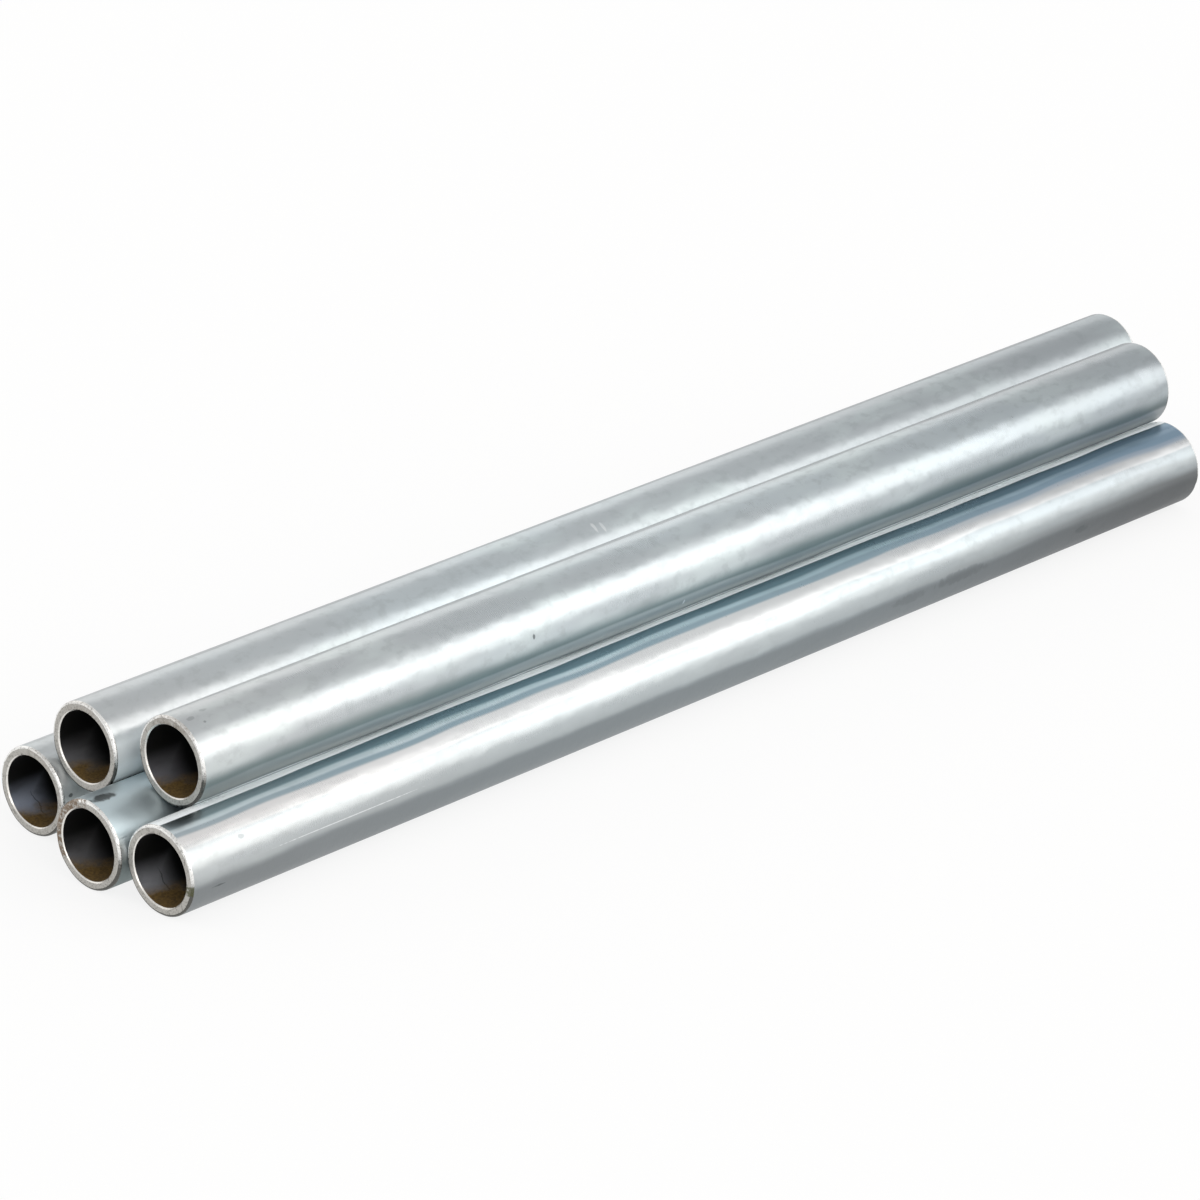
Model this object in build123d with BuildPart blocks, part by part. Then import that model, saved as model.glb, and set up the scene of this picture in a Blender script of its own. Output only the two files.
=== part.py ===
from build123d import *
from math import sqrt
import os

# Five zinc-plated steel tubes lying in a stack: three side by side on the floor and two on top.
# All sizes are in millimetres. The tubes run along X, with the ends seen best at low X, and the
# side seen best faces -Y. The origin is on the floor, under the middle of the whole stack.

# Section shared by all the tubes
outer_diameter = 31.8
wall = 3.2
bore_chamfer = 0.4          # flat cut by the deburring tool on the inner edge of each sawn end
rim_round = 0.9             # rounded outer edge of each sawn end

# Sawn length of each tube
back_length = 510.0
middle_length = 510.0
front_length = 514.0
top_back_length = 526.0
top_front_length = 494.0

# How far each tube's low-X end lies behind the end of the middle tube
back_set = 15.5
front_set = 3.0
top_back_set = 19.5
top_front_set = 23.5

# How the tubes lie on the floor and on each other
touch_gap = 0.05            # room left between two tubes that touch along a line
back_gap = 14.0             # open strip between the back and the middle tube on the floor

# Sizes worked out from the ones above
outer_radius = outer_diameter / 2
bore_radius = outer_radius - wall
touch_pitch = outer_diameter + touch_gap    # axis to axis of two tubes that touch
back_pitch = outer_diameter + back_gap      # axis to axis of the back and the middle tube


def rest_height(pitch):
    """Height of the axis of a tube that rests on two floor tubes with this axis spacing."""
    return outer_radius + sqrt(touch_pitch**2 - (pitch / 2) ** 2)


# Axis of each tube across the stack, counted from the axis of the middle tube
back_y = back_pitch
front_y = -touch_pitch
top_back_y = back_pitch / 2
top_front_y = -touch_pitch / 2
floor_z = outer_radius
top_back_z = rest_height(back_pitch)
top_front_z = rest_height(touch_pitch)

# The stack is centred over the origin by its outer box
stack_end = max(
    middle_length,
    back_set + back_length,
    front_set + front_length,
    top_back_set + top_back_length,
    top_front_set + top_front_length,
)
shift_x = -stack_end / 2
shift_y = -(back_y + front_y) / 2


def end_plane(set_back, y, z):
    """Plane on the low-X face of a tube, with its normal along the tube."""
    return Plane(origin=(shift_x + set_back, shift_y + y, z), x_dir=(0, 1, 0), z_dir=(1, 0, 0))


def make_tube(length, set_back, y, z):
    """One sawn tube: a drawn ring, with its four end edges broken."""
    with BuildPart() as tube:
        with BuildSketch(end_plane(set_back, y, z)):
            Circle(outer_radius)
            Circle(bore_radius, mode=Mode.SUBTRACT)
        extrude(amount=length)
        end_edges = tube.edges().filter_by(GeomType.CIRCLE)
        inner_edges, outer_edges = end_edges.group_by(SortBy.RADIUS)
        chamfer(inner_edges, bore_chamfer)
        fillet(outer_edges, rim_round)
    return tube


# Bottom layer, from the back to the front
bottom_tube_back = make_tube(back_length, back_set, back_y, floor_z)
bottom_tube_middle = make_tube(middle_length, 0, 0, floor_z)
bottom_tube_front = make_tube(front_length, front_set, front_y, floor_z)

# Top layer, each tube in the hollow between two below it
top_tube_back = make_tube(top_back_length, top_back_set, top_back_y, top_back_z)
top_tube_front = make_tube(top_front_length, top_front_set, top_front_y, top_front_z)

bottom_tube_back.part.label = "bottom_tube_back"
bottom_tube_middle.part.label = "bottom_tube_middle"
bottom_tube_front.part.label = "bottom_tube_front"
top_tube_back.part.label = "top_tube_back"
top_tube_front.part.label = "top_tube_front"

os.makedirs("parts", exist_ok=True)
export_step(bottom_tube_back.part, "parts/bottom_tube_back.step")
export_step(bottom_tube_middle.part, "parts/bottom_tube_middle.step")
export_step(bottom_tube_front.part, "parts/bottom_tube_front.step")
export_step(top_tube_back.part, "parts/top_tube_back.step")
export_step(top_tube_front.part, "parts/top_tube_front.step")
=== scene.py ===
from collections import namedtuple
from math import cos, exp, pi, radians, remainder, sin

import bpy
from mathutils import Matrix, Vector


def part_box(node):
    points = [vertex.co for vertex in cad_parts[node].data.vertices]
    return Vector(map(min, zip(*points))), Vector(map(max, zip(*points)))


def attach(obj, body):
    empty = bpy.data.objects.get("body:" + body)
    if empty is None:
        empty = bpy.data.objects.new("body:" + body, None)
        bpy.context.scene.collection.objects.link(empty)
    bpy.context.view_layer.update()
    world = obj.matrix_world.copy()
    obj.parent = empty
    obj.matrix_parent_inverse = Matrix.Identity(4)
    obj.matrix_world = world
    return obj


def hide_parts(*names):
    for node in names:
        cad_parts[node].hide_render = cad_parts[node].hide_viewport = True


# Looks of a loose stack of five zinc-plated steel tubes with sawn ends. Everything is in metres in
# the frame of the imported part: the tubes run along X, the ends seen best are at low X, and +Z is up.

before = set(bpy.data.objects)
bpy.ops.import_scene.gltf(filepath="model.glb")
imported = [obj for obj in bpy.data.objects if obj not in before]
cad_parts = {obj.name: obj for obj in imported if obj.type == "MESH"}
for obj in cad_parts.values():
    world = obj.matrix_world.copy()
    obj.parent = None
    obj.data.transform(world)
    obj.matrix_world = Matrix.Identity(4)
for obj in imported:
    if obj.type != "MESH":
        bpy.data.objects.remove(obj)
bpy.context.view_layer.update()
MM = 0.001

# Section of the tubes, as in the part
RADIUS = 15.9 * MM
WALL = 3.2 * MM
BORE_CHAMFER = 0.4 * MM
RIM_ROUND = 0.9 * MM


# Colours, in linear light

ZINC = (0.560, 0.622, 0.650, 1.0)
ZINC_GREY = (0.525, 0.570, 0.592, 1.0)
ZINC_PALE = (0.620, 0.690, 0.700, 1.0)
# painted shade on the zinc
ZINC_PAINTED_SHADE = (0.440, 0.475, 0.485, 1.0)
ZINC_MOTTLE = (0.450, 0.497, 0.513, 1.0)
# painted highlight on the zinc
ZINC_PAINTED_HIGHLIGHT = (0.780, 0.800, 0.805, 1.0)
# painted reflections of the top front tube on the front bottom tube, and painted light on the middle
# bottom tube's top
PAINTED_REFLECTION_BLUE = (0.350, 0.475, 0.545, 1.0)
PAINTED_LIGHT_AND_REFLECTION_BLUE = (0.560, 0.720, 0.790, 1.0)
PAINTED_REFLECTION_BLUE_PALE = (0.760, 0.880, 0.930, 1.0)
PAINTED_REFLECTION_BLUE_DARK = (0.215, 0.335, 0.395, 1.0)
PAINTED_REFLECTION_BLUE_DEEP = (0.310, 0.450, 0.600, 1.0)
# painted light: pale and matt, for strips that stand in for light and reflections
PAINTED_LIGHT_PALE = (0.920, 0.970, 0.990, 1.0)
# painted shade towards the far ends
FAR_PAINTED_SHADE = (0.740, 0.740, 0.750, 1.0)
NEAR_WARMED = (1.000, 0.960, 0.942, 1.0)
# painted shade: on the sides that face down, along the upper back of three tubes, and low on the front
# bottom tube towards its far end
PAINTED_SHADE = (0.250, 0.278, 0.292, 1.0)
PAINTED_SHADE_GREEN = (0.225, 0.275, 0.280, 1.0)
PAINTED_SHADE_THIN = (0.430, 0.480, 0.480, 1.0)
PAINTED_SHADE_FAR = (0.160, 0.165, 0.165, 1.0)
SMUDGE = (0.110, 0.125, 0.130, 1.0)
# pale flecks, and a painted highlight on the front bottom tube
FLECK_AND_PAINTED_HIGHLIGHT = (0.900, 0.920, 0.930, 1.0)
SAWN = (0.450, 0.438, 0.410, 1.0)
SAWN_DARK = (0.240, 0.232, 0.212, 1.0)
EDGE = (0.800, 0.780, 0.740, 1.0)
RIM = (0.860, 0.860, 0.840, 1.0)
RIM_SPECK = (0.340, 0.335, 0.320, 1.0)
# painted shade on the lower side of the rims
RIM_PAINTED_SHADE = (0.100, 0.098, 0.090, 1.0)
# near black of the bores, also used for painted shade in the bores and along two lines where tubes touch
BORE_DARK = (0.005, 0.005, 0.005, 1.0)
RUST = (0.170, 0.102, 0.025, 1.0)
RUST_DARK = (0.060, 0.036, 0.009, 1.0)
RUST_ON_END = (0.165, 0.112, 0.068, 1.0)
OLIVE = (0.085, 0.088, 0.045, 1.0)

# What tells one tube from the next in the photograph. A turn is in degrees round the tube's axis: 0
# faces -Y, 90 is the top, 180 the back and -90 the bottom. Distances are in millimetres, and one
# along a tube starts at its low-X end. Each half is measured from the middle of what it describes,
# soft is how many degrees it takes to fade beyond its half, and a share is how much shows of it.
#
# A band is a strip of other colour along the tube, and the bands below are all painted shade,
# painted highlights, painted light and painted reflections. It grows in round its start, which is
# the low-X end unless set, and out round its end, which lies past the tube unless set. A painted
# light strip is a strip painted pale and matt, standing in for light and reflections, such as along
# the line where the tube touches its neighbour. A mark is a ragged spot. A stain is a patch of
# other colour round one turn of the sawn ends.
#
# In a look, the seed makes a tube's noise and its uneven ends its own. The underside shade is the
# colour of painted shade on the side that faces down, and its top the height where that shade
# starts, in radii over the axis. The nicks are the turns of dents in the rims, bore is the colour of
# the steel inside, which in the back bottom tube is partly a painted bluish reflection, and ring how
# dark a ring inside the bore is.

Band = namedtuple("Band", "turn half soft colour share start end", defaults=(1.0, 0.0, 1000.0))
Rub = namedtuple("Rub", "turn half soft share", defaults=(1.0,))
Mark = namedtuple("Mark", "along turn half_length half_width colour share")
Stain = namedtuple("Stain", "turn half soft colour share")
Look = namedtuple("Look", "seed roughness film film_top bands rubs marks nicks stain bore ring")

LOOKS = {
    "bottom_tube_back": Look(
        # painted shade on the underside, and the band at turn 114, a dark line along the upper back
        seed=1, roughness=0.36, film=PAINTED_SHADE_GREEN, film_top=0.2, bands=(Band(114, 9, 4, PAINTED_SHADE, 0.5),),
        # painted light on the front
        rubs=(Rub(20, 40, 20, 0.3),),
        marks=(Mark(3.8, 9, 1.0, 0.7, SMUDGE, 0.8),),
        # the pale bluish bore colour is partly a painted reflection
        nicks=(), stain=Stain(70, 10, 30, RUST_ON_END, 0.15), bore=(0.42, 0.47, 0.58, 1.0), ring=0.6,
    ),
    "bottom_tube_middle": Look(
        seed=2, roughness=0.44, film=PAINTED_SHADE_GREEN, film_top=0.2,
        # painted light on the top: a pale blue band and a faint pale matt strip
        bands=(Band(85, 50, 25, PAINTED_LIGHT_AND_REFLECTION_BLUE, 0.7, -200),), rubs=(Rub(85, 45, 25, 0.08),),
        # painted shade: the second mark is a dark line near the low-X end, where the back top tube lies
        # on this one
        marks=(Mark(6.0, 85, 5.4, 2.3, SMUDGE, 0.95), Mark(40.0, 130, 28.0, 1.3, BORE_DARK, 0.9)),
        nicks=(24,), stain=Stain(155, 40, 35, RUST_ON_END, 0.90), bore=(0.17, 0.17, 0.18, 1.0), ring=0.0,
    ),
    "bottom_tube_front": Look(
        seed=3, roughness=0.30, film=PAINTED_SHADE, film_top=0.2,
        bands=(
            # painted shade below the highlight
            Band(14, 9, 8, ZINC_PAINTED_SHADE, 0.7),
            # painted highlight: the next two bands widen the highlight upwards, the second one near the
            # low-X end only
            Band(51, 8, 4, ZINC_PAINTED_HIGHLIGHT, 0.9),
            Band(53, 4, 5, FLECK_AND_PAINTED_HIGHLIGHT, 0.7, -200, 200),
            # painted reflections and shade in blues, between the highlight and the line where the top
            # front tube lies on this one; the deep blue is at the far end
            Band(68, 5, 5, PAINTED_REFLECTION_BLUE),
            Band(75, 2, 5, PAINTED_LIGHT_AND_REFLECTION_BLUE),
            Band(72, 2, 4, PAINTED_REFLECTION_BLUE_PALE, 0.8, -200, 220),
            Band(86, 6, 5, PAINTED_REFLECTION_BLUE_DARK),
            Band(72, 14, 8, PAINTED_REFLECTION_BLUE_DEEP, 0.7, 420),
            # painted shade on the lower front towards the far end
            Band(-35, 38, 12, PAINTED_SHADE_FAR, 0.8, 430),
        ),
        # painted light: a pale strip along the line where the top front tube lies on this one
        rubs=(Rub(110, 15, 2.5),),
        marks=(
            Mark(446, -14, 3.5, 1.6, SMUDGE, 0.55),
            Mark(378, -8, 14.0, 2.5, SMUDGE, 0.35),
            Mark(350, -12, 9.0, 2.0, SMUDGE, 0.25),
            Mark(12.0, -14, 3.0, 0.35, SMUDGE, 0.8),
            Mark(70, 5.5, 33.0, 0.22, FLECK_AND_PAINTED_HIGHLIGHT, 0.55),
            Mark(24.0, 34, 1.5, 0.8, SMUDGE, 0.35),
        ),
        nicks=(-20,), stain=Stain(-10, 4, 7, OLIVE, 0.85), bore=(0.33, 0.34, 0.37, 1.0), ring=0.6,
    ),
    "top_tube_back": Look(
        # painted shade on the underside, and the band at turn 114, a dark line along the upper back
        seed=4, roughness=0.34, film=PAINTED_SHADE_THIN, film_top=-0.1, bands=(Band(114, 9, 4, PAINTED_SHADE, 0.6),),
        # painted light on the front and lower front
        rubs=(Rub(-12, 30, 16, 0.6),),
        marks=(
            Mark(234, 58, 0.8, 2.6, FLECK_AND_PAINTED_HIGHLIGHT, 0.5),
            Mark(237.6, 56, 0.7, 2.2, FLECK_AND_PAINTED_HIGHLIGHT, 0.4),
            # painted shade: the last mark is a dark line near the low-X end, where this tube lies on the
            # middle bottom one
            Mark(20.0, -40, 26.0, 1.1, BORE_DARK, 0.9),
        ),
        nicks=(), stain=Stain(100, 15, 30, RUST_ON_END, 0.15), bore=(0.18, 0.18, 0.19, 1.0), ring=0.0,
    ),
    "top_tube_front": Look(
        seed=5, roughness=0.30, film=PAINTED_SHADE_GREEN, film_top=0.1,
        # painted shade: the band at -30 darkens the lower front, and the band at 114 is a dark line
        # along the upper back
        bands=(Band(-30, 9, 5, ZINC_PAINTED_SHADE), Band(114, 9, 4, PAINTED_SHADE, 0.6)),
        # painted light: a pale strip where this tube lies on the front bottom tube, and a broad one
        # round the back
        rubs=(Rub(-58, 7, 4), Rub(-170, 45, 20, 0.6)),
        marks=(
            Mark(153, 11, 0.6, 1.1, SMUDGE, 0.8),
            Mark(229, -27, 0.5, 1.1, FLECK_AND_PAINTED_HIGHLIGHT, 0.7),
            Mark(5.0, 74, 1.8, 0.9, SMUDGE, 0.30),
            Mark(8.5, 62, 0.7, 0.5, SMUDGE, 0.45),
            Mark(12.0, 80, 2.0, 0.8, SMUDGE, 0.25),
        ),
        nicks=(), stain=Stain(85, 20, 30, RUST_ON_END, 0.30), bore=(0.19, 0.19, 0.21, 1.0), ring=0.0,
    ),
}

# A tube that is being made: its look, the low-X end of its axis, and its length
Piece = namedtuple("Piece", "look origin length")


# Camera

CAMERA_AZIMUTH = -45.7521   # degrees round the stack from the -Y side
CAMERA_ELEVATION = 22.519   # degrees above the floor
CAMERA_DISTANCE = 2.25745   # from the point aimed at
CAMERA_AIM = (-0.006686, 0.017132, 0.017282)
LENS_MM = 188.596
SENSOR_MM = 36.0
CLIP_END = 100.0


def add_camera():
    """The photograph's viewpoint: a long lens, level, in front of the low-X ends and above them."""
    azimuth, elevation = radians(CAMERA_AZIMUTH), radians(CAMERA_ELEVATION)
    back = Vector((sin(azimuth) * cos(elevation), -cos(azimuth) * cos(elevation), sin(elevation)))
    data = bpy.data.cameras.new("camera")
    data.lens = LENS_MM
    data.sensor_width = SENSOR_MM
    data.clip_end = CLIP_END
    camera = bpy.data.objects.new("camera", data)
    camera.location = Vector(CAMERA_AIM) + back * CAMERA_DISTANCE
    camera.rotation_mode = "QUATERNION"
    camera.rotation_quaternion = (-back).to_track_quat("-Z", "Y")
    bpy.context.scene.collection.objects.link(camera)
    bpy.context.scene.camera = camera


# Node helpers


class Nodes:
    """A short way to write a node tree: each call adds a node or a few, and gives the output."""

    def __init__(self, tree):
        self.tree = tree
        tree.nodes.clear()

    def add(self, kind, inputs=(), output=0, **settings):
        """One node, with a value or the output of another node for each input, and its output."""
        node = self.tree.nodes.new(kind)
        for key, value in settings.items():
            setattr(node, key, value)
        for key, value in dict(inputs).items():
            if isinstance(value, bpy.types.NodeSocket):
                self.tree.links.new(value, node.inputs[key])
            else:
                node.inputs[key].default_value = value
        return node.outputs[output]

    def show(self, kind, surface):
        """Make this surface the one that the output node shows."""
        output = self.tree.nodes.new(kind)
        self.tree.links.new(surface, output.inputs["Surface"])

    def math(self, operation, *values):
        return self.add("ShaderNodeMath", dict(enumerate(values)), operation=operation)

    def vector(self, operation, *values):
        return self.add("ShaderNodeVectorMath", dict(enumerate(values)), operation=operation)

    def total(self, *values):
        """The sum of all the values."""
        result = values[0]
        for value in values[1:]:
            result = self.math("ADD", result, value)
        return result

    def split(self, place):
        """The X, Y and Z of a place."""
        outputs = self.add("ShaderNodeSeparateXYZ", {"Vector": place}).node.outputs
        return outputs["X"], outputs["Y"], outputs["Z"]

    def step(self, value, low, high, to_low=0.0, to_high=1.0):
        """A smooth rise from to_low to to_high while value goes from low to high."""
        inputs = {"Value": value, "From Min": low, "From Max": high, "To Min": to_low, "To Max": to_high}
        return self.add("ShaderNodeMapRange", inputs, interpolation_type="SMOOTHSTEP")

    def near(self, value, centre, half, soft):
        """1 within half of the centre, falling to 0 over the next soft."""
        off = self.math("ABSOLUTE", self.math("SUBTRACT", value, centre))
        return self.step(off, half + soft, half)

    def turn_of(self, y, z):
        """The turn round the X axis in radians: 0 faces -Y, and a quarter turn is up."""
        return self.math("ARCTAN2", z, self.math("MULTIPLY", y, -1.0))

    def off_turn(self, turn, degrees):
        """How far a turn in radians is from one in degrees, the short way round."""
        return self.math("WRAP", self.math("SUBTRACT", turn, radians(degrees)), pi, -pi)

    def near_turn(self, turn, degrees, half, soft):
        """1 within half degrees of a turn in degrees, falling to 0 over the next soft."""
        return self.near(self.off_turn(turn, degrees), 0.0, radians(half), radians(soft))

    def mix(self, share, first, second, blend="MIX"):
        """Colour that goes from first to second, or to their product, as share goes from 0 to 1."""
        # The node has several sockets of one name, and these numbers are those of the colours.
        inputs = {0: share, 6: first, 7: second}
        return self.add("ShaderNodeMix", inputs, output=2, data_type="RGBA", blend_type=blend)

    def bump(self, height):
        """The way the surface faces where its height in metres is this."""
        return self.add("ShaderNodeBump", {"Strength": 1.0, "Distance": 1.0, "Height": height})


NOISE_SHIFT = (0.37, 0.11, 0.23)   # metres that each step of the seed moves the noise by


class PieceNodes(Nodes):
    """The nodes of one material of a tube, with the tube's own coordinates.

    These are the distance along it from its low-X end, the height over its axis, and the turn."""

    def __init__(self, name, piece):
        self.material = bpy.data.materials.new(name)
        self.material.use_nodes = True
        super().__init__(self.material.node_tree)
        coordinates = self.add("ShaderNodeTexCoord", output="Object")
        own = self.vector("SUBTRACT", coordinates, tuple(piece.origin))
        self.along, across, self.height = self.split(own)
        self.turn = self.turn_of(across, self.height)
        shift = tuple(piece.look.seed * metres for metres in NOISE_SHIFT)
        self.shifted = self.vector("ADD", own, shift)

    def noise(self, scale, size, detail=2.0, roughness=0.5):
        """Noise from 0 to 1. scale is stretch per axis, and size the width of a patch in metres."""
        scaled = self.vector("MULTIPLY", self.shifted, tuple(stretch / size for stretch in scale))
        inputs = {"Vector": scaled, "Scale": 1.0, "Detail": detail, "Roughness": roughness}
        return self.add("ShaderNodeTexNoise", inputs)

    def close(self, inputs):
        """Close the tree with a shader that has these inputs, and give the material."""
        self.show("ShaderNodeOutputMaterial", self.add("ShaderNodeBsdfPrincipled", inputs))
        return self.material


# Materials

EVEN = (1.0, 1.0, 1.0)      # the scale of a noise that is alike along every axis
UNDERSIDE_SHADE_FADE = 0.36 * RADIUS   # height over which the painted shade gets its full strength
UNDERSIDE_SHADE_WAVER = 0.05 * RADIUS  # how far its edge wanders up and down
UNDERSIDE_ROUGHNESS = 0.20       # roughness added with the painted underside shade
BAND_GROWTH = 110 * MM      # over which a band grows, on either side of its start and its end
BAND_WANDER = 0.04          # radians that bands and painted light strips wander to either side
FAR_SHADE_FROM = 0.45            # where painted shade starts to darken a tube towards its far end, of its length
WARM_TO = 0.35              # how far the warmer tone of the near end goes, of the length
MARK_CORE = 0.4             # squared distance, in halves of its size, where a mark starts to fade
MARK_EDGE = 1.3             # and where it is gone
MARK_RAGGED = 0.35          # that its edge wanders to either side, in the same measure


def plating_colour(n, clouds):
    """The zinc itself, in close cool greys."""
    tints = n.noise((0.25, 1.0, 1.0), 30 * MM)
    mottle = n.noise((0.8, 1.0, 1.0), 4.5 * MM, detail=3.0, roughness=0.6)
    colour = n.mix(n.step(tints, 0.40, 0.62), ZINC, ZINC_GREY)
    colour = n.mix(n.step(clouds, 0.48, 0.68, 0.0, 0.75), colour, ZINC_PALE)
    return n.mix(n.step(mottle, 0.48, 0.68, 0.0, 0.5), colour, ZINC_MOTTLE)


def underside_shade_share(n, top, clouds):
    """How much painted shade the underside gets: none above its top, and all of it a little lower."""
    edge = n.math("ADD", n.height, n.step(clouds, 0.3, 0.7, -UNDERSIDE_SHADE_WAVER, UNDERSIDE_SHADE_WAVER))
    return n.step(edge, top, top - UNDERSIDE_SHADE_FADE)


def add_bands(n, colour, bands, turn):
    """Strips of other colour along the tube, laid over the colour one by one."""
    for band in bands:
        start, end = band.start * MM, band.end * MM
        grown_in = n.step(n.along, start - BAND_GROWTH, start + BAND_GROWTH, 0.0, band.share)
        grown_out = n.step(n.along, end + BAND_GROWTH, end - BAND_GROWTH)
        share = n.math("MULTIPLY", n.near_turn(turn, band.turn, band.half, band.soft), grown_in)
        colour = n.mix(n.math("MULTIPLY", share, grown_out), colour, band.colour)
    return colour


def add_end_tones(n, colour, length):
    """Painted shade that darkens the tube towards its far end, and a warmer tone at the near end."""
    far_shade = n.step(n.along, FAR_SHADE_FROM * length, length)
    warm = n.step(n.along, WARM_TO * length, 0.0)
    return n.mix(warm, n.mix(far_shade, colour, FAR_PAINTED_SHADE, "MULTIPLY"), NEAR_WARMED, "MULTIPLY")


def add_painted_light_strips(n, colour, rubs, turn):
    """Painted light: strips painted pale and matt, as the new colour and how metallic the surface still
    is.
    """
    metallic = 1.0
    for painted_light_strip in rubs:
        share = n.math("MULTIPLY", n.near_turn(turn, painted_light_strip.turn, painted_light_strip.half, painted_light_strip.soft), painted_light_strip.share)
        colour = n.mix(share, colour, PAINTED_LIGHT_PALE)
        metallic = n.math("SUBTRACT", metallic, share)
    return colour, metallic


def add_marks(n, colour, marks, ragged):
    """Spots with ragged edges, laid over the colour one by one."""
    for mark in marks:
        off_along = n.math("SUBTRACT", n.along, mark.along * MM)
        off_along = n.math("DIVIDE", off_along, mark.half_length * MM)
        off_round = n.math("MULTIPLY", n.off_turn(n.turn, mark.turn), RADIUS / (mark.half_width * MM))
        off = n.total(n.math("POWER", off_along, 2.0), n.math("POWER", off_round, 2.0), ragged)
        colour = n.mix(n.step(off, MARK_EDGE, MARK_CORE, 0.0, mark.share), colour, mark.colour)
    return colour


def zinc_material(name, piece):
    """Bright zinc plating on drawn tube: satin and cool, finely brushed round the tube, and cloudy.

    The side that faces down carries painted shade and a rougher finish. Marks tell the tubes apart,
    and so do bands and pale matt strips, which are painted shade, painted highlights, painted light
    and painted reflections."""
    look = piece.look
    n = PieceNodes(name, piece)
    clouds = n.noise((0.30, 1.0, 1.0), 17 * MM, detail=3.0, roughness=0.6)
    drift = n.noise((0.20, 1.0, 1.0), 12 * MM, detail=1.0)
    waves = n.noise((0.6, 1.0, 1.0), 6 * MM, detail=1.0)
    dapple = n.noise((1.0, 0.7, 0.7), 2 * MM, detail=1.0)
    brushed = n.noise((1.0, 0.12, 0.12), 0.35 * MM)
    film = underside_shade_share(n, look.film_top * RADIUS, clouds)
    wandering = n.math("ADD", n.turn, n.step(drift, 0.3, 0.7, -BAND_WANDER, BAND_WANDER))

    colour = n.mix(film, plating_colour(n, clouds), look.film)
    colour = add_bands(n, colour, look.bands, wandering)
    colour = add_end_tones(n, colour, piece.length)
    colour, metallic = add_painted_light_strips(n, colour, look.rubs, wandering)
    colour = add_marks(n, colour, look.marks, n.step(dapple, 0.3, 0.7, -MARK_RAGGED, MARK_RAGGED))

    roughness = n.total(
        n.step(clouds, 0.35, 0.70, look.roughness - 0.03, look.roughness + 0.05),
        n.step(brushed, 0.30, 0.70, -0.02, 0.02),
        n.math("MULTIPLY", film, UNDERSIDE_ROUGHNESS),
    )
    heights = n.total(
        n.math("MULTIPLY", waves, 0.22 * MM),
        n.math("MULTIPLY", dapple, 0.02 * MM),
        n.math("MULTIPLY", brushed, 0.008 * MM),
    )
    inputs = {
        "Base Color": colour,
        "Metallic": metallic,
        "Roughness": roughness,
        "Normal": n.bump(heights),
    }
    return n.close(inputs)


def add_stain(n, colour, stain, ragged):
    """The stain of a tube's ends: strongest at its turn, with a broken edge."""
    share = n.near_turn(n.turn, stain.turn, stain.half, stain.soft)
    broken = n.step(n.math("ADD", share, ragged), 0.35, 0.95, 0.0, stain.share)
    return n.mix(broken, colour, stain.colour)


RIM_SHADE_TOP = 0.15 * RADIUS    # height where the painted shade on a rim starts
RIM_SHADE_FULL = -0.20 * RADIUS  # and where it is at its full strength
RIM_SHADE_WAVER = 0.10 * RADIUS


def rim_material(name, piece):
    """The rounded outer edge of an end: bright metal, darkened below by painted shade."""
    n = PieceNodes(name, piece)
    specks = n.noise(EVEN, 0.9 * MM, detail=3.0, roughness=0.6)
    edge = n.math("ADD", n.height, n.step(specks, 0.3, 0.7, -RIM_SHADE_WAVER, RIM_SHADE_WAVER))
    colour = n.mix(n.step(specks, 0.48, 0.70, 0.0, 0.8), RIM, RIM_SPECK)
    colour = n.mix(n.step(edge, RIM_SHADE_TOP, RIM_SHADE_FULL), colour, RIM_PAINTED_SHADE)
    colour = add_stain(n, colour, piece.look.stain, n.step(specks, 0.35, 0.65, -0.35, 0.35))
    inputs = {
        "Base Color": colour,
        "Metallic": 0.9,
        "Roughness": n.step(specks, 0.3, 0.7, 0.20, 0.36),
        "Normal": n.bump(n.math("MULTIPLY", specks, 0.05 * MM)),
    }
    return n.close(inputs)


def sawn_material(name, piece):
    """The sawn end: matt, grey and a little beige, with fine saw marks, specks and light rust."""
    n = PieceNodes(name, piece)
    saw_marks = n.noise((1.0, 1.0, 0.08), 0.3 * MM)
    specks = n.noise(EVEN, 0.8 * MM, detail=4.0, roughness=0.7)
    patches = n.noise(EVEN, 1.4 * MM, detail=4.0, roughness=0.65)
    colour = n.mix(n.step(specks, 0.50, 0.66), SAWN, SAWN_DARK)
    colour = add_stain(n, colour, piece.look.stain, n.step(patches, 0.38, 0.62, -0.60, 0.35))
    heights = n.total(
        n.math("MULTIPLY", saw_marks, 0.006 * MM),
        n.math("MULTIPLY", specks, 0.02 * MM),
    )
    inputs = {
        "Base Color": colour,
        "Metallic": 0.75,
        "Roughness": n.step(specks, 0.3, 0.7, 0.44, 0.58),
        "Normal": n.bump(heights),
    }
    return n.close(inputs)


def edge_material(name, piece):
    """The narrow deburred cut inside an end: fresh, bright steel."""
    n = PieceNodes(name, piece)
    specks = n.noise(EVEN, 0.7 * MM, detail=3.0, roughness=0.6)
    inputs = {
        "Base Color": n.mix(n.step(specks, 0.50, 0.75, 0.0, 0.6), EDGE, SAWN),
        "Metallic": 1.0,
        "Roughness": n.step(specks, 0.3, 0.7, 0.24, 0.38),
        "Normal": n.bump(n.math("MULTIPLY", specks, 0.03 * MM)),
    }
    return n.close(inputs)


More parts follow.
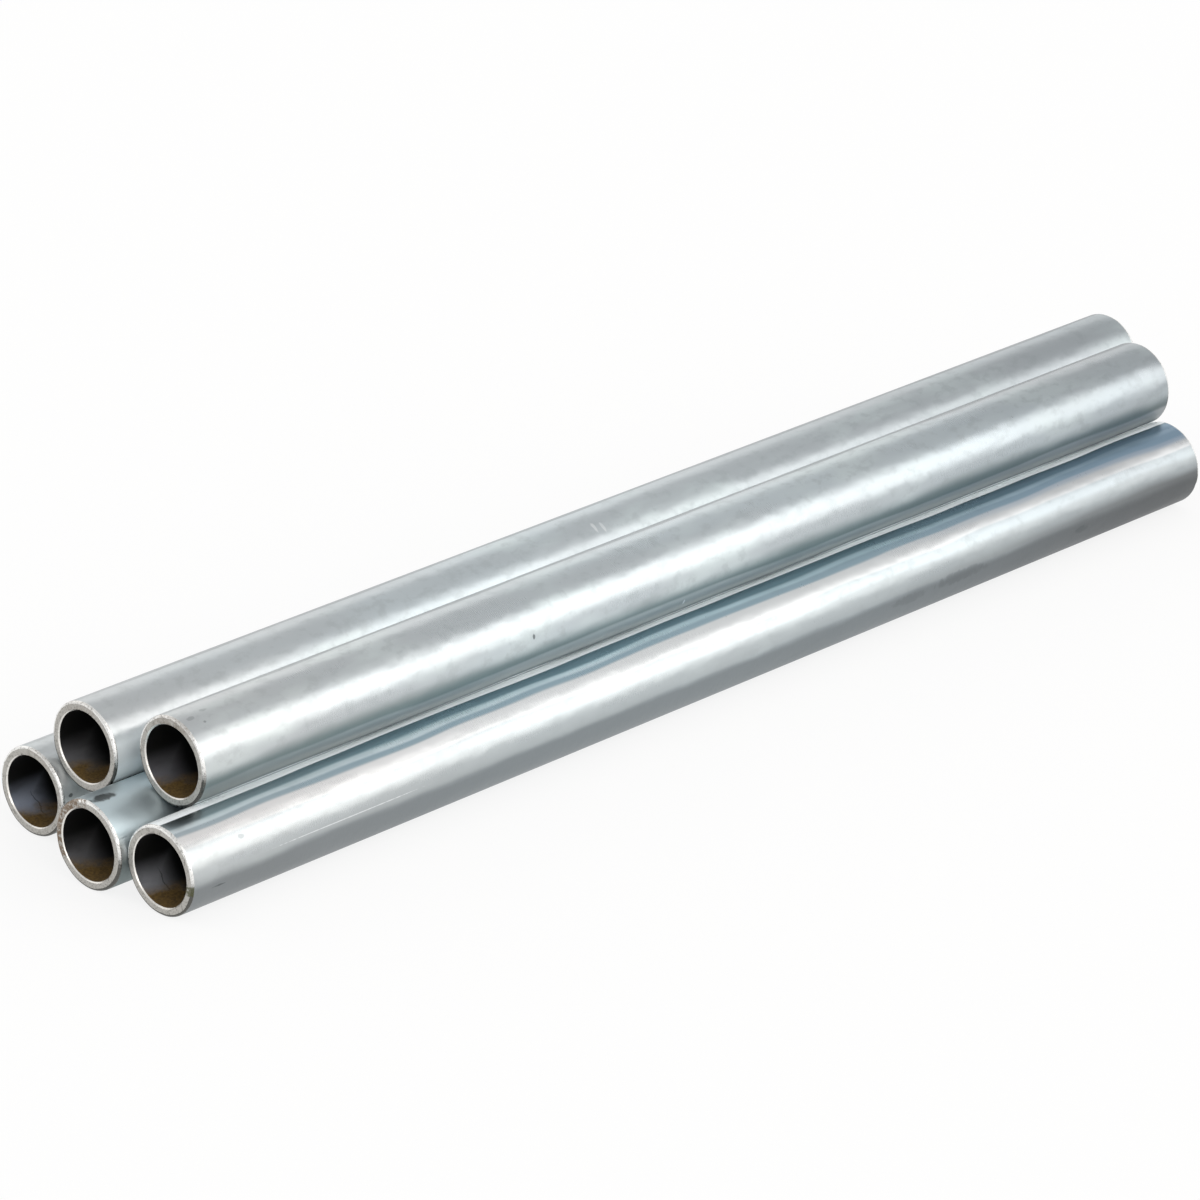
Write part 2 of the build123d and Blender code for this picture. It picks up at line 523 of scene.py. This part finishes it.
# Inside a bore. Heights are over its axis, and depths are from the nearer end.
RUST_TOP = -9.2 * MM        # height that the rust reaches at the mouth
RUST_SLOPE = 0.18           # how fast it gets lower, away from the mouth
RUST_WAVER = 1.0 * MM       # how far its edge wanders up and down
RUST_BLEND = 1.6 * MM       # over which it gives way to steel, on either side of its edge
RING_DISTANCE = 9.0 * MM    # from the low-X end to a thin dark ring inside the bore
RING_HALF = 0.10 * MM
RING_SOFT = 0.25 * MM
RING_WAVER = 0.9 * MM
RING_TOP = -4.5 * MM        # height where the ring starts
RING_FULL = -8.0 * MM       # height below which it has its full strength
SHADE_LOW = -11.0 * MM      # painted shade: the steel darkens from this height up to the axis
SHADE_START = 4.0 * MM      # and from this depth
SHADE_END = 18.0 * MM       # to this one


def ring_share(n, strength, clouds):
    """How much of the dark ring shows, on the lower side of the bore only."""
    distance = n.math("ADD", n.along, n.step(clouds, 0.3, 0.7, -RING_WAVER, RING_WAVER))
    ring = n.near(distance, RING_DISTANCE, RING_HALF, RING_SOFT)
    return n.math("MULTIPLY", ring, n.step(n.height, RING_TOP, RING_FULL, 0.0, strength))


def bore_material(name, piece):
    """The unplated inside: dark steel with painted shade towards the top and deeper in, and rust along
    the bottom.
    """
    n = PieceNodes(name, piece)
    clouds = n.noise((0.5, 1.0, 1.0), 6 * MM, detail=4.0)
    grain = n.noise((0.8, 1.0, 1.0), 0.8 * MM, detail=3.0, roughness=0.6)
    depth = n.math("PINGPONG", n.along, piece.length / 2)

    steel = n.mix(n.step(clouds, 0.45, 0.75, 0.0, 0.35), piece.look.bore, BORE_DARK)
    high, deep = n.step(n.height, SHADE_LOW, 0.0), n.step(depth, SHADE_START, SHADE_END)
    steel = n.mix(n.math("MAXIMUM", high, deep), steel, BORE_DARK)
    steel = n.mix(ring_share(n, piece.look.ring, clouds), steel, BORE_DARK)

    lowered = n.math("MULTIPLY", depth, RUST_SLOPE)
    rust_edge = n.total(n.height, lowered, n.step(clouds, 0.3, 0.7, -RUST_WAVER, RUST_WAVER))
    rust_share = n.step(rust_edge, RUST_TOP + RUST_BLEND, RUST_TOP - RUST_BLEND)
    rust = n.mix(n.step(grain, 0.35, 0.70, 0.15, 0.85), RUST, RUST_DARK)
    inputs = {
        "Base Color": n.mix(rust_share, steel, rust),
        "Metallic": n.step(rust_share, 0.0, 1.0, 0.3, 0.0),
        "Roughness": n.step(rust_share, 0.0, 1.0, 0.50, 0.85),
        "Normal": n.bump(n.math("MULTIPLY", grain, 0.04 * MM)),
    }
    return n.close(inputs)


# Tube meshes

SEGMENTS = 240              # round the tube
ROUND_STEPS = 6             # across the rounded outer edge
FACE_STEPS = 8              # across a sawn face
BODY_STEPS = 80             # along the tube, outside
BORE_STEPS = 60             # along the tube, inside
UNEVEN = 0.22               # how much the cut and the rounding of an end vary in width, as a share
NICK_DEPTH = 0.25 * MM
NICK_WIDTH = 3.0            # degrees round the rim
SHARP_ANGLE = 30.0          # degrees, above which an edge is shaded as a sharp one
MATERIALS = (zinc_material, rim_material, sawn_material, edge_material, bore_material)
ZINC_SLOT, RIM_SLOT, SAWN_SLOT, EDGE_SLOT, BORE_SLOT = range(5)

# The waves that make an end uneven: size, how many go round the tube, and phase per step of the seed
RIPPLES = ((0.5, 2, 1.7), (0.3, 5, 2.9), (0.2, 11, 4.3))

# One ring of the mesh: its distance along and its radius, how far unevenness moves it along and
# outward, its share of a nick, and the slot of the strip that follows it.
Ring = namedtuple("Ring", "along radius sway_along sway_out nick slot", defaults=(0.0, 0.0, 0.0, None))


def ripple(turn, seed):
    """A smooth value from about -1 to 1 that closes on itself round the tube."""
    return sum(size * sin(waves * turn + phase * seed) for size, waves, phase in RIPPLES)


def nick_depth(turn, nicks):
    """How deep the rim is dented at this turn."""
    offs = [remainder(turn - radians(nick), 2 * pi) / radians(NICK_WIDTH) for nick in nicks]
    return sum(NICK_DEPTH * exp(-off * off) for off in offs)


def spread(first, last, steps):
    """The inner points of an even run from first to last, with both ends left out."""
    return [first + (last - first) * i / steps for i in range(1, steps)]


def end_rings(inner, outer):
    """Rings of a low-X end, from the bore out to the outside of the tube."""
    cut = BORE_CHAMFER
    rings = [
        Ring(cut, inner, sway_along=cut, slot=EDGE_SLOT),
        Ring(cut / 2, inner + cut / 2, sway_along=cut / 2, sway_out=cut / 2, slot=EDGE_SLOT),
        Ring(0.0, inner + cut, sway_out=cut, slot=SAWN_SLOT),
    ]
    for radius in spread(inner + cut, outer - RIM_ROUND, FACE_STEPS):
        rings.append(Ring(0.0, radius, slot=SAWN_SLOT))
    for i in range(ROUND_STEPS + 1):
        turn = pi / 2 * i / ROUND_STEPS
        depth, drop = RIM_ROUND * (1 - cos(turn)), RIM_ROUND * (1 - sin(turn))
        slot = RIM_SLOT if i < ROUND_STEPS else ZINC_SLOT
        rings.append(Ring(depth, outer - drop, depth, -drop, sin(2 * turn), slot))
    return rings


def tube_rings(inner, outer, length):
    """All rings of a tube in order round its wall: low-X end, outside, high-X end and bore."""
    low_end = end_rings(inner, outer)
    slots = [ring.slot for ring in low_end[:-1]]
    high_end = [
        ring._replace(along=length - ring.along, sway_along=-ring.sway_along, slot=slot)
        for ring, slot in zip(reversed(low_end), slots[::-1] + [BORE_SLOT])
    ]
    body_at = spread(RIM_ROUND, length - RIM_ROUND, BODY_STEPS)
    bore_at = spread(length - BORE_CHAMFER, BORE_CHAMFER, BORE_STEPS)
    body = [Ring(at, outer, slot=ZINC_SLOT) for at in body_at]
    bore = [Ring(at, inner, slot=BORE_SLOT) for at in bore_at]
    return low_end + body + high_end + bore


def tube_mesh(name, piece):
    """One tube as a closed mesh of rings, in its place."""
    rings = tube_rings(RADIUS - WALL, RADIUS, piece.length)
    vertices, faces, slots = [], [], []
    for ring in rings:
        for j in range(SEGMENTS):
            turn = 2 * pi * j / SEGMENTS
            uneven = UNEVEN * ripple(turn, piece.look.seed)
            along = ring.along + ring.sway_along * uneven
            dent = ring.nick * nick_depth(turn, piece.look.nicks)
            radius = ring.radius + ring.sway_out * uneven - dent
            vertices.append(piece.origin + Vector((along, -radius * cos(turn), radius * sin(turn))))
    for i, ring in enumerate(rings):
        k = (i + 1) % len(rings)
        for j in range(SEGMENTS):
            m = (j + 1) % SEGMENTS
            faces.append((i * SEGMENTS + j, k * SEGMENTS + j, k * SEGMENTS + m, i * SEGMENTS + m))
            slots.append(ring.slot)
    mesh = bpy.data.meshes.new(name)
    mesh.from_pydata(vertices, [], faces)
    mesh.polygons.foreach_set("material_index", slots)
    mesh.polygons.foreach_set("use_smooth", [True] * len(faces))
    mesh.update()
    mesh.set_sharp_from_angle(angle=radians(SHARP_ANGLE))
    return mesh


def add_tube(node, look):
    """The finished tube that stands in for a node of the part, in the node's box."""
    low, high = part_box(node)
    origin = Vector((low.x, (low.y + high.y) / 2, (low.z + high.z) / 2))
    piece = Piece(look, origin, high.x - low.x)
    name = node + "_finished"
    mesh = tube_mesh(name, piece)
    tube = bpy.data.objects.new(name, mesh)
    bpy.context.scene.collection.objects.link(tube)
    for make in MATERIALS:
        mesh.materials.append(make(node + "_" + make.__name__, piece))
    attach(tube, "root")
    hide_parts(node)


# Studio

FLOOR_RADIUS = 14.0
FLOOR_STEPS = 96
FLOOR_COLOUR = (0.90, 0.90, 0.90, 1.0)
WHITE = (1.0, 1.0, 1.0, 1.0)
WHITE_SHARE = 0.82          # of plain white in the floor as it is seen, so that its shadows are pale


def floor_material():
    """A matt white that is partly lit by itself where it is seen, directly or in the tubes."""
    material = bpy.data.materials.new("floor")
    material.use_nodes = True
    n = Nodes(material.node_tree)
    rays = n.add("ShaderNodeLightPath").node.outputs
    seen = n.total(rays["Is Camera Ray"], rays["Is Glossy Ray"], rays["Is Transmission Ray"])
    inputs = {
        0: n.math("MULTIPLY", seen, WHITE_SHARE),
        1: n.add("ShaderNodeBsdfDiffuse", {"Color": FLOOR_COLOUR}),
        2: n.add("ShaderNodeEmission", {"Color": WHITE, "Strength": 1.0}),
    }
    n.show("ShaderNodeOutputMaterial", n.add("ShaderNodeMixShader", inputs))
    return material


def add_floor():
    """A plain pale floor, wide enough to fill the background of every view from above."""
    turns = [2 * pi * i / FLOOR_STEPS for i in range(FLOOR_STEPS)]
    points = [(FLOOR_RADIUS * cos(turn), FLOOR_RADIUS * sin(turn), 0.0) for turn in turns]
    mesh = bpy.data.meshes.new("floor")
    mesh.from_pydata(points, [], [tuple(range(FLOOR_STEPS))])
    mesh.materials.append(floor_material())
    floor = bpy.data.objects.new("floor", mesh)
    bpy.context.scene.collection.objects.link(floor)


# The light comes from the world alone. A turn is in degrees up from the floor on the -Y side, seen
# along the tubes, and a strip of light runs along X between two turns.
AMBIENT = 0.74              # the pale walls and ceiling of the studio
STRIP_COLOUR = (1.0, 0.970, 0.935, 1.0)
KEY_STRENGTH = 1.42         # on top of the walls, from the long soft light in front
KEY_TURN = 31.0
KEY_HALF = 10.0
KEY_SOFT = 28.0
BACK_STRENGTH = 0.45
BACK_TURN = 155.0
BACK_HALF = 8.0
BACK_SOFT = 20.0
STRIP_END = 0.80            # where a strip starts to fade at its ends, as a share of the X direction
STRIP_GONE = 0.97


def add_light():
    """Soft studio light: pale walls, a long soft light in front and a weaker one behind."""
    world = bpy.data.worlds.new("studio")
    world.use_nodes = True
    n = Nodes(world.node_tree)
    x, y, z = n.split(n.add("ShaderNodeTexCoord", output="Generated"))
    turn = n.turn_of(y, z)
    key = n.near(turn, radians(KEY_TURN), radians(KEY_HALF), radians(KEY_SOFT))
    rear = n.near(turn, radians(BACK_TURN), radians(BACK_HALF), radians(BACK_SOFT))
    strips = n.total(n.math("MULTIPLY", key, KEY_STRENGTH), n.math("MULTIPLY", rear, BACK_STRENGTH))
    ends = n.step(n.math("ABSOLUTE", x), STRIP_GONE, STRIP_END)
    lit = {"Color": STRIP_COLOUR, "Strength": n.math("MULTIPLY", strips, ends)}
    inputs = {
        0: n.add("ShaderNodeBackground", {"Color": WHITE, "Strength": AMBIENT}),
        1: n.add("ShaderNodeBackground", lit),
    }
    n.show("ShaderNodeOutputWorld", n.add("ShaderNodeAddShader", inputs))
    bpy.context.scene.world = world


add_camera()
for node, look in LOOKS.items():
    add_tube(node, look)
add_floor()
add_light()

bpy.context.scene.view_settings.view_transform = "Standard"
